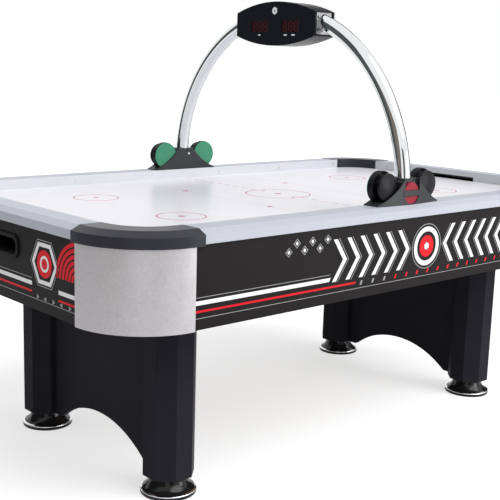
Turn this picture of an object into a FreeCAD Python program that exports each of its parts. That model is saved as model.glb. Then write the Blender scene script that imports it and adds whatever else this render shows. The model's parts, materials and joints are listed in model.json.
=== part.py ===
"""Seven foot air hockey table with an overhead scorer, as a parametric assembly in millimetres.

X runs along the table, Y across it and Z up, with the origin on the floor under the middle.
A tool that cuts a piece runs 1 mm past the faces that it opens.
"""
import FreeCAD, Part
import math
import os
import re

import Sketcher
from FreeCAD import Placement, Rotation, Vector

SIZES = {
    "table_length": 2130,
    "table_width": 1220,
    "rail_top": 810,
    "rail_width": 90,
    "rail_chamfer_width": 24,
    "rail_chamfer_drop": 11.5,
    "rail_height": 36,
    "field_thickness": 12,
    "field_gap": 1,

    "apron_thickness": 15,
    "apron_height": 219,
    "corner_radius": 210,
    "panel_thickness": 8,
    "panel_drop": 5,
    "panel_tab": 4,
    "panel_web": 5,
    "panel_flange_length": 30,
    "panel_flange": 4,
    "cap_proud": 4,
    "cap_gap": 0.3,
    "cap_rise": 1.5,
    "cap_skirt_height": 18,
    "cap_lap_side": 29,
    "cap_lap_end": 17,

    "strip_thickness": 2.5,
    "strip_reveal": 0.5,
    "side_screw_inset": 26.25,
    "side_screw_count": 6,
    "goal_screw_inset": 33,
    "end_screw_inset": 70,
    "strip_screw_rise": 16.5,
    "screw_radius": 2,
    "screw_length": 14,
    "screw_head_radius": 4.5,
    "screw_head_height": 1.2,

    "goal_half_width": 122,
    "goal_height": 16,
    "window_half_width": 96,
    "window_height": 52,
    "window_drop": 65,
    "window_radius": 20,
    "bezel_flange": 7,
    "bezel_wall": 3.5,
    "bezel_proud": 5,
    "bezel_fit": 0.2,
    "box_wall": 6,
    "box_step": 2,

    "plenum_end_gap": 9,
    "plenum_side_inset": 65,
    "plenum_depth": 30,
    "plenum_batten": 20,
    "plenum_floor_thickness": 9,
    "blower_hole_radius": 62,
    "drum_clearance": 16,
    "drum_wall": 2.5,
    "drum_depth": 66,
    "drum_flange": 16,
    "eye_clearance": 4,
    "motor_radius": 32,
    "motor_gap": 3,
    "motor_arm_width": 14,
    "motor_arm_thickness": 3,
    "motor_arm_lap": 14,
    "impeller_radius": 66,
    "impeller_height": 34,
    "impeller_eye": 40,
    "impeller_gap": 5,
    "shroud_thickness": 2,
    "blade_thickness": 1.6,
    "blade_chord_radius": 46,
    "blade_sweep": 14,
    "blade_count": 18,
    "shaft_radius": 3,
    "shaft_fit": 0.05,
    "shaft_engagement": 14,
    "shaft_end_gap": 2,
    "hub_radius": 10,
    "grille_lap": 12,
    "grille_thickness": 2.5,
    "grille_bar": 2.4,
    "grille_ring_count": 4,
    "inlet_length": 50,
    "inlet_width": 32,
    "inlet_depth": 26,
    "inlet_wall": 6,
    "inlet_pin_radius": 2.4,
    "inlet_pin_offset": 8,
    "inlet_pin_setback": 3,
    "inlet_offset": 210,

    "leg_end_inset": 345,
    "leg_side_inset": 272,
    "leg_bottom": 55.5,
    "post_width": 142,
    "post_flat": 57,
    "post_wall": 12,
    "post_base": 22,
    "panel_board": 20,
    "arch_cut_margin": 36,
    "arch_cut_rise": 80.5,
    "foot_radius": 81.5,
    "foot_rim_height": 13.5,
    "foot_rim_round": 2.5,
    "foot_neck_radius": 50,
    "foot_bell_radius": 46,
    "stem_radius": 6,
    "stem_length": 48,
    "stem_fit": 0.06,

    "arch_setback": 29,
    "arch_rise": 27,
    "tube_radius": 24,
    "tube_wall": 2.5,
    "tube_fit": 0.05,
    "tube_seat_rise": 4,

    "bracket_end_depth": 54,
    "bracket_middle_depth": 68,
    "bracket_base_half": 142,
    "bracket_base_lip": 3,
    "bracket_height": 79,
    "bracket_top_half": 37,
    "bracket_shoulder": 5,
    "bracket_slope_radius": 235,
    "bracket_wall": 6,
    "bracket_skin": 3,
    "pocket_clearance": 1,

    "puck_radius": 33,
    "puck_thickness": 8,
    "puck_clearance": 0.6,
    "puck_seat_height": 1.5,
    "seat_gap": 0.3,
    "strap_height": 18,
    "strap_thickness": 3,
    "strap_lap": 6,

    "mallet_offset": 92.5,
    "mallet_height_above_rail": 55,
    "mallet_radius": 49,
    "mallet_height": 48,
    "mallet_rim_height": 19,
    "mallet_rim_width": 4,
    "mallet_floor": 6,
    "mallet_waist_radius": 19,
    "mallet_disc_radius": 43,
    "mallet_disc_height": 15,
    "mallet_disc_cone": 7,
    "mallet_dome": 6,
    "mallet_edge": 2,
    "mallet_disc_edge": 4,
    "felt_thickness": 2,
    "felt_inset": 1,

    "scorer_half_length": 189,
    "scorer_half_thickness": 45,
    "scorer_rise": 35,
    "scorer_drop": 109,
    "scorer_end_rise": 0,
    "scorer_end_drop": 77,
    "scorer_wall": 3,
    "scorer_face_thickness": 3,
    "scorer_end_frame": 6,
    "scorer_end_lip": 2.5,
    "end_plate_lap": 1,
    "end_plate_thickness": 2,
    "display_half_width": 41,
    "display_height": 38,
    "display_offset": 74,
    "display_drop": 46,
    "window_lens_thickness": 1.5,
    "window_lens_lap": 3,
}
FUNCTIONS = ("sqrt", "sin", "cos", "tan", "atan")

# Places and sizes that follow from the ones above, so that each keeps its seat when one of them changes.
PLACES = {
    "field_top": "rail_top - rail_height",
    "apron_bottom": "field_top - apron_height",
    "panel_bottom": "apron_bottom - panel_drop",
    "cap_skirt_bottom": "field_top - cap_skirt_height",
    "corner_x": "table_length / 2 - corner_radius",
    "corner_y": "table_width / 2 - corner_radius",
    "side_wall": "panel_thickness + apron_thickness",
    "side_screw_pitch": "2 * (corner_x - side_screw_inset) / (side_screw_count - 1)",
    "end_screw_outer": "corner_y - end_screw_inset",
    "end_screw_inner": "goal_half_width + goal_screw_inset",
    "strip_screw_height": "field_top + strip_screw_rise",
    "window_middle": "field_top - window_drop",
    "box_floor": "window_middle - window_height / 2 - box_step - box_wall",
    "plenum_half_length": "table_length / 2 - rail_width - box_wall - plenum_end_gap",
    "plenum_half_width": "table_width / 2 - plenum_side_inset",
    "floor_high": "field_top - field_thickness - plenum_depth",
    "floor_low": "floor_high - plenum_floor_thickness",
    "drum_bottom": "floor_low - drum_depth",
    "drum_radius": "impeller_radius + drum_clearance",
    "inlet_radius": "impeller_eye + eye_clearance",
    "impeller_low": "drum_bottom + 2 * drum_wall + impeller_gap",
    "impeller_high": "impeller_low + impeller_height",
    "motor_low": "impeller_high + motor_gap",
    "grille_radius": "inlet_radius + grille_lap",
    "leg_span_half": "table_length / 2 - leg_end_inset",
    "leg_spread_half": "table_width / 2 - leg_side_inset",
    "arch_radius": "bracket_inner + arch_setback",
    "arch_centre": "rail_top + arch_rise",
    "tube_seat": "rail_top + tube_seat_rise",
    "bracket_inner": "table_width / 2 - rail_width",
    "bracket_outer_end": "bracket_inner + bracket_end_depth",
    "bracket_outer_middle": "bracket_inner + bracket_middle_depth",
    "bracket_top": "rail_top + bracket_height",
    "scorer_top": "arch_centre + arch_radius + scorer_rise",
    "scorer_bottom": "arch_centre + arch_radius - scorer_drop",
    "scorer_end_top": "arch_centre + arch_radius + scorer_end_rise",
    "scorer_end_bottom": "arch_centre + arch_radius - scorer_end_drop",
    "display_middle": "arch_centre + arch_radius - display_drop",
}

doc = FreeCAD.newDocument("AirHockeyTable")
sheet = doc.addObject("Spreadsheet::Sheet", "Sizes")
for row, (alias, number) in enumerate(SIZES.items(), start=1):
    sheet.set("A%d" % row, alias)
    sheet.set("B%d" % row, str(number))
    sheet.setAlias("B%d" % row, alias)
doc.recompute()

PLANES = {
    "XY": Rotation(),
    "XZ": Rotation(Vector(1, 0, 0), 90),
    "YZ": Rotation(Vector(1, 1, 1), 120),
}
NODES = []


def spell(text, prefix):
    """Write an expression out in the sheet's own sizes, each under the given prefix."""
    def word(match):
        name = match.group(0)
        if name in FUNCTIONS:
            return name
        if name in PLACES:
            return "(%s)" % spell(PLACES[name], prefix)
        return prefix + name
    return re.sub(r"[a-z][a-z_]*", word, text)


def value(text):
    """The number that an expression on the sizes comes to."""
    return float(sheet.evalExpression(spell(text, "")))


def bound(text):
    """The same expression as the other objects of the document write it."""
    return spell(text, "Sizes.")


def place(item, spot, turn=None):
    """Set an object's turn, and bind its position to the sheet."""
    item.Placement = Placement(Vector(), turn or Rotation())
    for axis, text in zip("xyz", spot):
        item.setExpression("Placement.Base." + axis, bound(text))
    return item


def node(item, label):
    """Mark an object as a finished piece under its own name."""
    item.Label = label
    NODES.append(item)
    return item


def box(spot, size):
    """A block from its low corner and its three sizes."""
    item = doc.addObject("Part::Box", "Block")
    for name, text in zip(("Length", "Width", "Height"), size):
        item.setExpression(name, bound(text))
    return place(item, spot)


def cylinder(spot, radius, height, turn=None):
    """A round bar along Z, or along the axis that turn takes Z to."""
    item = doc.addObject("Part::Cylinder", "Bar")
    item.setExpression("Radius", bound(radius))
    item.setExpression("Height", bound(height))
    return place(item, spot, turn)


def fuse(*items):
    """Join pieces of one solid."""
    item = doc.addObject("Part::MultiFuse", "Join")
    item.Shapes = list(items)
    item.Refine = True
    return item


def cut(base, *tools):
    """Take the tools away from the base."""
    item = doc.addObject("Part::Cut", "Trim")
    item.Base = base
    item.Tool = tools[0] if len(tools) == 1 else group(*tools)
    item.Refine = True
    return item


def common(one, other):
    """What two solids share."""
    item = doc.addObject("Part::MultiCommon", "Share")
    item.Shapes = [one, other]
    item.Refine = True
    return item


def group(*items):
    """Several solids kept apart in one object."""
    item = doc.addObject("Part::Compound", "Group")
    item.Links = list(items)
    return item


def mirror(source, normal):
    """The mirror image of a piece through the table's middle."""
    item = doc.addObject("Part::Mirroring", "Mirror")
    item.Source = source
    item.Base = Vector()
    item.Normal = normal
    return item


def arc_middle(start, end, radius, side):
    """The middle point of the shorter arc from start to end that bulges to the given side."""
    chord = end - start
    half = chord.Length / 2
    rise = radius - math.sqrt(max(radius * radius - half * half, 0))
    across = Vector(-chord.y, chord.x, 0).normalize()
    return (start + end) * 0.5 + across * (rise * side)


def profile(plane, outline, spot=("0", "0", "0")):
    """A closed sketch whose corners and radii are bound to the sheet, in a named plane or a turned one.

    Each entry is (x, y), or (x, y, radius, side) where an arc runs from this corner to the next,
    bulging to the left of that run for side 1 and to the right for side -1.
    """
    sketch = doc.addObject("Sketcher::SketchObject", "Outline")
    corners = [Vector(value(entry[0]), value(entry[1]), 0) for entry in outline]
    count = len(outline)
    ends = []
    for index, entry in enumerate(outline):
        start, end = corners[index], corners[(index + 1) % count]
        clockwise = len(entry) == 4 and entry[3] == 1
        ends.append((2, 1) if clockwise else (1, 2))
        if len(entry) == 2:
            sketch.addGeometry(Part.LineSegment(start, end), False)
            continue
        middle = arc_middle(start, end, value(entry[2]), entry[3])
        arc = Part.Arc(end, middle, start) if clockwise else Part.Arc(start, middle, end)
        sketch.addGeometry(arc, False)
    for index in range(count):
        after = (index + 1) % count
        sketch.addConstraint(Sketcher.Constraint("Coincident", index, ends[index][1], after, ends[after][0]))
    for index, entry in enumerate(outline):
        corner = corners[index]
        for kind, text, number in (("DistanceX", entry[0], corner.x), ("DistanceY", entry[1], corner.y)):
            mark = sketch.addConstraint(Sketcher.Constraint(kind, -1, 1, index, ends[index][0], number))
            sketch.setExpression("Constraints[%d]" % mark, bound(text))
        if len(entry) == 4:
            mark = sketch.addConstraint(Sketcher.Constraint("Radius", index, value(entry[2])))
            sketch.setExpression("Constraints[%d]" % mark, bound(entry[2]))
    return place(sketch, spot, PLANES[plane] if isinstance(plane, str) else plane)


def extrude(sketch, ahead, behind="0"):
    """A solid from a sketch, along its normal and against it."""
    item = doc.addObject("Part::Extrusion", "Prism")
    item.Base = sketch
    item.DirMode = "Normal"
    item.Solid = True
    item.setExpression("LengthFwd", bound(ahead))
    item.setExpression("LengthRev", bound(behind))
    return item


def revolve(sketch, angle=360, base=("0", "0", "0")):
    """A solid of revolution about a vertical axis."""
    item = doc.addObject("Part::Revolution", "Turned")
    item.Source = sketch
    item.Axis = Vector(0, 0, 1)
    item.Angle = angle
    item.Solid = True
    for axis, text in zip("xyz", base):
        item.setExpression("Base." + axis, bound(text))
    return item


def minus(text):
    """The expression with its sign turned."""
    return "-(" + text + ")"


ALONG_Y = Rotation(Vector(1, 0, 0), -90)
ALONG_X = Rotation(Vector(0, 1, 0), 90)


def four(piece, stem):
    """The near left piece and its three mirror images."""
    near_left = node(piece, stem + "_near_left")
    near_right = node(mirror(near_left, Vector(1, 0, 0)), stem + "_near_right")
    node(mirror(near_left, Vector(0, 1, 0)), stem + "_far_left")
    node(mirror(near_right, Vector(0, 1, 0)), stem + "_far_right")


def pair(piece, near, far, normal):
    """A piece and its mirror image."""
    node(piece, near)
    node(mirror(piece, normal), far)


def rounded(half_width, height, middle, radius, plane, spot):
    """A rounded rectangle about x = 0, by its middle height."""
    low = "(%s - (%s) / 2)" % (middle, height)
    high = "(%s + (%s) / 2)" % (middle, height)
    side = "(%s)" % half_width
    return profile(plane, [
        ("-%s + %s" % (side, radius), low),
        ("%s - %s" % (side, radius), low, radius, -1),
        (side, "%s + %s" % (low, radius)),
        (side, "%s - %s" % (high, radius), radius, -1),
        ("%s - %s" % (side, radius), high),
        ("-%s + %s" % (side, radius), high, radius, -1),
        ("-" + side, "%s - %s" % (high, radius)),
        ("-" + side, "%s + %s" % (low, radius), radius, -1),
    ], spot)


def build_cabinet():
    """Aprons, moulded corner panels and corner caps."""
    height = "field_top - apron_bottom"
    side = box(("-corner_x", "-table_width / 2 + panel_thickness", "apron_bottom"),
               ("2 * corner_x", "apron_thickness", height))
    pair(side, "side_apron_near", "side_apron_far", Vector(0, 1, 0))
    end = box(("-table_length / 2 + panel_thickness", "-corner_y", "apron_bottom"),
              ("apron_thickness", "2 * corner_y", height))
    hole = extrude(rounded("window_half_width", "window_height", "window_middle", "window_radius", "YZ",
                           ("-table_length / 2 + panel_thickness - 1", "0", "0")), "apron_thickness + 2")
    pair(cut(end, hole), "end_apron_left", "end_apron_right", Vector(1, 0, 0))

    x, y = "-corner_x", "-corner_y"
    out_x, out_y = "-table_length / 2", "-table_width / 2"
    inner = "(corner_radius - panel_thickness)"
    reach = "sqrt(%s * %s - panel_web * panel_web)" % (inner, inner)
    flange = "side_wall + panel_flange"
    panel = profile("XY", [
        (x + " + panel_tab", out_y),
        (x, out_y, "corner_radius", 1),
        (out_x, y),
        (out_x, y + " + panel_tab"),
        (out_x + " + panel_thickness", y + " + panel_tab"),
        (out_x + " + panel_thickness", y),
        (out_x + " + side_wall", y),
        (out_x + " + side_wall", y + " + panel_flange_length"),
        (out_x + " + " + flange, y + " + panel_flange_length"),
        (out_x + " + " + flange, y + " - panel_web"),
        (x + " - " + reach, y + " - panel_web", inner, -1),
        (x + " - panel_web", y + " - " + reach),
        (x + " - panel_web", out_y + " + " + flange),
        (x + " + panel_flange_length", out_y + " + " + flange),
        (x + " + panel_flange_length", out_y + " + side_wall"),
        (x, out_y + " + side_wall"),
        (x, out_y + " + panel_thickness"),
        (x + " + panel_tab", out_y + " + panel_thickness"),
    ], ("0", "0", "panel_bottom"))
    four(extrude(panel, "field_top - panel_bottom"), "corner_panel")

    def cap_outline(inside, origin):
        """The cap's section, measured outwards from the corner's centre."""
        def out(text):
            return "%s - (%s)" % (origin, text)
        return [
            (out(inside), "field_top"),
            (out("corner_radius + cap_gap"), "field_top"),
            (out("corner_radius + cap_gap"), "cap_skirt_bottom"),
            (out("corner_radius + cap_proud"), "cap_skirt_bottom"),
            (out("corner_radius + cap_proud"), "rail_top - rail_chamfer_drop"),
            (out("corner_radius - rail_chamfer_width"), "rail_top + cap_rise"),
            (out(inside), "rail_top + cap_rise"),
        ]
    bend = revolve(profile("XZ", cap_outline("corner_radius - rail_width", x), ("0", y, "0")), 90, (x, y, "0"))
    leg_inside = "corner_radius - rail_width + strip_thickness"
    end_leg = extrude(profile("XZ", cap_outline(leg_inside, x), ("0", y, "0")), "0", "cap_lap_end")
    side_leg = extrude(profile("YZ", cap_outline(leg_inside, y), (x, "0", "0")), "cap_lap_side")
    pilot_start = "-table_width / 2 + rail_width - strip_thickness - screw_length"
    pilot = cylinder(side_screw_spots(pilot_start)[0], "screw_radius", "screw_length + 1", ALONG_Y)
    four(cut(fuse(bend, end_leg, side_leg), pilot), "corner_cap")


def screws_on(spots, turn, radius, length):
    """Round bars from each spot, kept as one group."""
    return [cylinder(spot, radius, length, turn) for spot in spots]


def side_screw_spots(face):
    """The places of the screws along the near side strip, evenly spread about its middle."""
    count = int(value("side_screw_count"))
    return [("(%s) * side_screw_pitch" % (step - (count - 1) / 2), face, "strip_screw_height")
            for step in range(count)]


def end_screw_spots(face):
    """The places of the screws along the left end strip."""
    return [(face, text, "strip_screw_height")
            for text in ("-end_screw_outer", "-end_screw_inner", "end_screw_inner", "end_screw_outer")]


def build_rails():
    """Top rails, the aluminium strips on their inner faces and the screws."""
    def section(out):
        """The rail's section, from its outer face inwards."""
        return [
            (out, "field_top"),
            (out + " + rail_width - strip_thickness", "field_top"),
            (out + " + rail_width - strip_thickness", "rail_top"),
            (out + " + rail_chamfer_width", "rail_top"),
            (out, "rail_top - rail_chamfer_drop"),
        ]
    half = "(corner_x - cap_lap_side)"
    back_y = "-table_width / 2 + rail_width - strip_thickness"
    rail = extrude(profile("YZ", section("-table_width / 2"), (minus(half), "0", "0")), "2 * " + half)
    pilot_spots = side_screw_spots(back_y + " - screw_length")
    pilots = screws_on(pilot_spots, ALONG_Y, "screw_radius", "screw_length + 1")
    pair(cut(rail, *pilots), "side_rail_near", "side_rail_far", Vector(0, 1, 0))
    holes = screws_on(side_screw_spots(back_y + " - 1"), ALONG_Y, "screw_radius", "strip_thickness + 2")
    strip = box(("-corner_x", back_y, "field_top"),
                ("2 * corner_x", "strip_thickness", "rail_top - strip_reveal - field_top"))
    pair(cut(strip, *holes), "side_strip_near", "side_strip_far", Vector(0, 1, 0))

    half = "(corner_y - cap_lap_end)"
    back_x = "-table_length / 2 + rail_width - strip_thickness"
    rail = extrude(profile("XZ", section("-table_length / 2"), ("0", half, "0")), "2 * " + half)
    mouth = box(("-table_length / 2 + panel_thickness", "-goal_half_width", "field_top - 1"),
                ("rail_width", "2 * goal_half_width", "goal_height + 1"))
    pilot_spots = end_screw_spots(back_x + " - screw_length")
    pilots = screws_on(pilot_spots, ALONG_X, "screw_radius", "screw_length + 1")
    pair(cut(rail, mouth, *pilots), "end_rail_left", "end_rail_right", Vector(1, 0, 0))
    holes = screws_on(end_screw_spots(back_x + " - 1"), ALONG_X, "screw_radius", "strip_thickness + 2")
    strip = box((back_x, "-corner_y", "field_top"),
                ("strip_thickness", "2 * corner_y", "rail_top - strip_reveal - field_top"))
    slot = box((back_x + " - 1", "-goal_half_width", "field_top - 1"),
               ("strip_thickness + 2", "2 * goal_half_width", "goal_height + 1"))
    pair(cut(strip, slot, *holes), "end_strip_left", "end_strip_right", Vector(1, 0, 0))

    screws = []
    rows = (
        (side_screw_spots, ALONG_Y, "-table_width / 2 + rail_width", Vector(0, 1, 0)),
        (end_screw_spots, ALONG_X, "-table_length / 2 + rail_width", Vector(1, 0, 0)),
    )
    for spots, turn, face, axis in rows:
        shanks = screws_on(spots(face + " - screw_length"), turn, "screw_radius", "screw_length")
        heads = screws_on(spots(face), turn, "screw_head_radius", "screw_head_height")
        row = group(*[fuse(shank, head) for shank, head in zip(shanks, heads)])
        screws += [row, mirror(row, axis)]
    node(group(*screws), "strip_screws")


def build_field():
    """The playing surface on its air box."""
    x = "(table_length / 2 - side_wall - panel_flange - field_gap)"
    y = "(table_width / 2 - side_wall - panel_flange - field_gap)"
    radius = "(corner_radius - side_wall - panel_flange - field_gap)"
    goal_x = "(table_length / 2 - rail_width)"
    half = "goal_half_width"
    outline = [
        ("-corner_x", "-" + y),
        ("corner_x", "-" + y, radius, -1),
        (x, "-corner_y"),
        (x, "-" + half),
        (goal_x, "-" + half),
        (goal_x, half),
        (x, half),
        (x, "corner_y", radius, -1),
        ("corner_x", y),
        ("-corner_x", y, radius, -1),
        ("-" + x, "corner_y"),
        ("-" + x, half),
        ("-" + goal_x, half),
        ("-" + goal_x, "-" + half),
        ("-" + x, "-" + half),
        ("-" + x, "-corner_y", radius, -1),
    ]
    board = profile("XY", outline, ("0", "0", "field_top - field_thickness"))
    node(extrude(board, "field_thickness"), "playfield")

    batten = "plenum_batten"
    frame = box(("-plenum_half_length", "-plenum_half_width", "floor_high"),
                ("2 * plenum_half_length", "2 * plenum_half_width", "plenum_depth"))
    room = box(("-plenum_half_length + " + batten, "-plenum_half_width + " + batten, "floor_high - 1"),
               ("2 * (plenum_half_length - plenum_batten)", "2 * (plenum_half_width - plenum_batten)",
                "plenum_depth + 2"))
    node(cut(frame, room), "plenum_frame")
    floor = box(("-plenum_half_length", "-plenum_half_width", "floor_low"),
                ("2 * plenum_half_length", "2 * plenum_half_width", "plenum_floor_thickness"))
    hole = cylinder(("0", "0", "floor_low - 1"), "blower_hole_radius", "plenum_floor_thickness + 2")
    node(cut(floor, hole), "plenum_floor")


def build_goals():
    """The catch boxes behind the goals and the bezels of their windows."""
    inside = "(-table_length / 2 + side_wall)"
    width = "(rail_width - side_wall + box_wall)"
    outer = box((inside, "-goal_half_width - box_wall", "box_floor"),
                (width, "2 * (goal_half_width + box_wall)", "field_top - field_thickness - box_floor"))
    hollow = box((inside + " - 1", "-goal_half_width", "box_floor + box_wall"),
                 (width + " - box_wall + 1", "2 * goal_half_width", "field_top - box_floor"))
    pair(cut(outer, hollow), "return_box_left", "return_box_right", Vector(1, 0, 0))

    start = "-table_length / 2 + panel_thickness"

    def ring(growth, radius, x):
        """The window's outline, grown all round."""
        return rounded("window_half_width + " + growth, "window_height + 2 * (%s)" % growth, "window_middle",
                       radius, "YZ", (x, "0", "0"))
    neck = extrude(ring("-bezel_fit", "window_radius", start), "apron_thickness")
    flange = extrude(ring("bezel_flange", "(window_radius + bezel_flange)", start), "0", "bezel_proud")
    bore = extrude(ring("-bezel_fit - bezel_wall", "(window_radius - bezel_wall)", start + " - bezel_proud - 1"),
                   "apron_thickness + bezel_proud + 2")
    pair(cut(fuse(neck, flange), bore), "return_bezel_left", "return_bezel_right", Vector(1, 0, 0))


def build_blower():
    """The fan that fills the air box, with its drum, motor, guard and power inlet."""
    low, high = "impeller_low", "impeller_high"
    drum = revolve(profile("XZ", [
        ("inlet_radius", "drum_bottom"),
        ("drum_radius", "drum_bottom"),
        ("drum_radius", "floor_low - drum_wall"),
        ("drum_radius + drum_flange", "floor_low - drum_wall"),
        ("drum_radius + drum_flange", "floor_low"),
        ("drum_radius - drum_wall", "floor_low"),
        ("drum_radius - drum_wall", "drum_bottom + drum_wall"),
        ("inlet_radius + drum_wall", "drum_bottom + drum_wall"),
        ("inlet_radius + drum_wall", "drum_bottom + 2 * drum_wall"),
        ("inlet_radius", "drum_bottom + 2 * drum_wall"),
    ]))
    node(drum, "blower_drum")

    can = cylinder(("0", "0", "motor_low"), "motor_radius", "floor_high + motor_arm_thickness - motor_low")
    arms = []
    for angle in (30, 150, 270):
        turn = Rotation(Vector(0, 0, 1), angle)
        arm = doc.addObject("Part::Box", "Arm")
        arm.setExpression("Length", bound("blower_hole_radius + motor_arm_lap"))
        arm.setExpression("Width", bound("motor_arm_width"))
        arm.setExpression("Height", bound("motor_arm_thickness"))
        across = "motor_arm_width / 2"
        spot = ("%s * sin(%d)" % (across, angle), "-%s * cos(%d)" % (across, angle), "floor_high")
        arms.append(place(arm, spot, turn))
    bore = cylinder(("0", "0", "motor_low - 1"), "shaft_radius + shaft_fit",
                    "shaft_engagement + shaft_end_gap + 1")
    node(cut(fuse(can, *arms), bore), "blower_motor")

    eye = revolve(profile("XZ", [
        ("impeller_eye", low),
        ("impeller_radius", low),
        ("impeller_radius", low + " + shroud_thickness"),
        ("impeller_eye", low + " + shroud_thickness"),
    ]))
    plate = revolve(profile("XZ", [
        ("0", high + " - shroud_thickness"),
        ("impeller_radius", high + " - shroud_thickness"),
        ("impeller_radius", high),
        ("0", high),
    ]))
    hub = cylinder(("0", "0", low), "hub_radius", "impeller_height")
    shaft = cylinder(("0", "0", high + " - shroud_thickness"), "shaft_radius",
                     "shroud_thickness + motor_gap + shaft_engagement")
    blades = []
    for index in range(int(value("blade_count"))):
        turn = Rotation(Vector(0, 0, 1), 360.0 * index / value("blade_count"))
        tip = "impeller_radius - shroud_thickness / 2"
        blade = profile(turn, [
            ("impeller_eye", "0", "blade_chord_radius", 1),
            (tip, "blade_sweep"),
            (tip, "blade_sweep + blade_thickness", "blade_chord_radius", -1),
            ("impeller_eye", "blade_thickness"),
        ], ("0", "0", low))
        blades.append(extrude(blade, "impeller_height"))
    node(fuse(eye, plate, hub, shaft, *blades), "blower_impeller")

    guard_low = "drum_bottom - grille_thickness"
    rings = []
    for index in range(int(value("grille_ring_count"))):
        share = "grille_radius * %d / grille_ring_count" % (index + 1)
        rings.append(revolve(profile("XZ", [
            (share + " - grille_bar", guard_low),
            (share, guard_low),
            (share, "drum_bottom"),
            (share + " - grille_bar", "drum_bottom"),
        ])))
    start, side = "-grille_radius + grille_bar / 2", "-grille_bar / 2"
    span = "2 * grille_radius - grille_bar"
    bars = [box((start, side, guard_low), (span, "grille_bar", "grille_thickness")),
            box((side, start, guard_low), ("grille_bar", span, "grille_thickness"))]
    node(fuse(*(rings + bars)), "blower_grille")

    socket_low = "floor_low - inlet_depth"
    body = box(("inlet_offset", "-inlet_width / 2", socket_low), ("inlet_length", "inlet_width", "inlet_depth"))
    well = box(("inlet_offset + inlet_wall", "-inlet_width / 2 + inlet_wall", socket_low + " - 1"),
               ("inlet_length - 2 * inlet_wall", "inlet_width - 2 * inlet_wall",
                "inlet_depth - inlet_wall + 1"))
    pins = [cylinder(("inlet_offset + inlet_length / 2 + %s" % step, "0", socket_low + " + inlet_pin_setback"),
                     "inlet_pin_radius", "inlet_depth - inlet_pin_setback")
            for step in ("-inlet_pin_offset", "inlet_pin_offset")]
    node(fuse(cut(body, well), *pins), "power_inlet")


def bow_radius(half, rise):
    """The radius of an arc by half its chord and its rise."""
    return "((%s) * (%s) + %s * %s) / (2 * %s)" % (half, half, rise, rise, rise)


def octagon(width, flat, spot):
    """A post's section, by its width across the flats and the length of each flat."""
    w, f = "(%s) / 2" % width, "(%s) / 2" % flat
    return profile("XY", [
        ("-" + f, "-" + w), (f, "-" + w), (w, "-" + f), (w, f),
        (f, w), ("-" + f, w), ("-" + w, f), ("-" + w, "-" + f),
    ], spot)


def build_legs():
    """Octagonal posts, the arched boards between them and the levelling feet."""
    spot = ("-leg_span_half", "-leg_spread_half")
    outer = extrude(octagon("post_width", "post_flat", spot + ("leg_bottom",)), "floor_low - leg_bottom")
    shrink = "2 * post_wall"
    inner = extrude(octagon("post_width - " + shrink, "post_flat - %s * tan(22.5)" % shrink,
                            spot + ("leg_bottom + post_base",)), "floor_low - leg_bottom")
    hole = cylinder(spot + ("leg_bottom - 1",), "stem_radius + stem_fit", "post_base + 2")
    four(cut(outer, inner, hole), "leg_post")

    edge = "(leg_spread_half - post_width / 2)"
    spring = "(%s - arch_cut_margin)" % edge
    board = profile("YZ", [
        ("-" + edge, "leg_bottom"),
        ("-" + spring, "leg_bottom", bow_radius(spring, "arch_cut_rise"), 1),
        (spring, "leg_bottom"),
        (edge, "leg_bottom"),
        (edge, "floor_low"),
        ("-" + edge, "floor_low"),
    ], ("-leg_span_half - panel_board / 2", "0", "0"))
    pair(extrude(board, "panel_board"), "leg_panel_left", "leg_panel_right", Vector(1, 0, 0))

    foot = profile("XZ", [
        ("0", "0"),
        ("foot_radius - foot_rim_round", "0", "foot_rim_round", -1),
        ("foot_radius", "foot_rim_round"),
        ("foot_radius", "foot_rim_height - foot_rim_round", "foot_rim_round", -1),
        ("foot_radius - foot_rim_round", "foot_rim_height", "foot_bell_radius", 1),
        ("foot_neck_radius", "leg_bottom"),
        ("stem_radius", "leg_bottom"),
        ("stem_radius", "leg_bottom + stem_length"),
        ("0", "leg_bottom + stem_length"),
    ])
    for end, x in (("left", "-leg_span_half"), ("right", "leg_span_half")):
        for side, y in (("near", "-leg_spread_half"), ("far", "leg_spread_half")):
            node(place(revolve(foot), (x, y, "0")), "leveller_foot_%s_%s" % (side, end))


def half_torus(radius):
    """Half of a ring in the YZ plane, standing on its two ends."""
    ring = doc.addObject("Part::Torus", "Ring")
    ring.setExpression("Radius1", bound("arch_radius"))
    ring.setExpression("Radius2", bound(radius))
    ring.Angle3 = 180
    return place(ring, ("0", "0", "arch_centre"), PLANES["YZ"])


def arch_solid(radius):
    """A round bar that follows the arch from one seat to the other."""
    legs = [cylinder(("0", side + "arch_radius", "tube_seat"), radius, "arch_centre - tube_seat")
            for side in ("-", "")]
    return fuse(half_torus(radius), *legs)


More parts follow.
